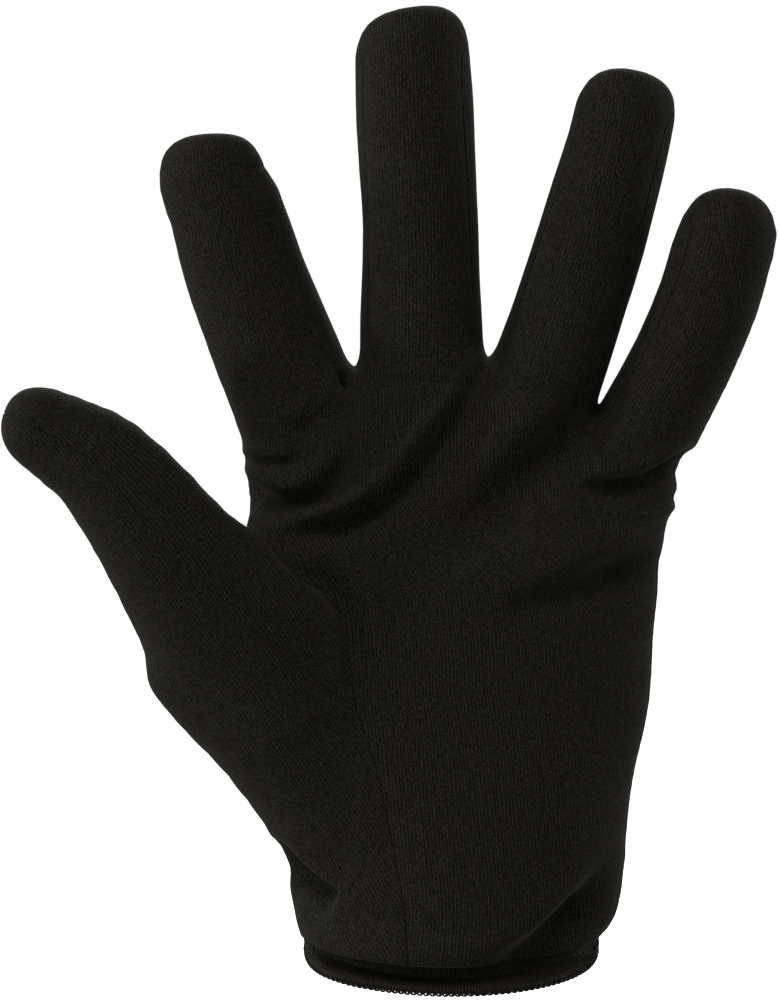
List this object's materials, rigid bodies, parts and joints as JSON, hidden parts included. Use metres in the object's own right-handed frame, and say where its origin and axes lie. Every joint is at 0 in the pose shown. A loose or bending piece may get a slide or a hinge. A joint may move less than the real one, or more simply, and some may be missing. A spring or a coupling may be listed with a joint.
{
  "type": "knitted dress glove",
  "caption": "Wrist-length knitted stretch glove for a left hand in its worn form, with finger gussets, a set-in thumb and a rolled hem, hollow and open at the wrist.",
  "frame": {"origin": "centre of the wrist opening, inside the hem", "axes": "+Z from the wrist to the fingertips, -Y the way the palm faces, +X towards the little finger"},
  "size_m": [0.1589, 0.0587, 0.2032],
  "materials": {
    "knit": "fine matt jersey knit, black with a slight fuzz",
    "hem": "rolled edge overlocked with black thread"
  },
  "bodies": {
    "root": {"palm": "knit", "back": "knit", "thumb_inner": "knit", "thumb_outer": "knit", "fourchette_index_middle": "knit", "fourchette_middle_ring": "knit", "fourchette_ring_little": "knit", "hem": "hem"}
  },
  "joints": []
}
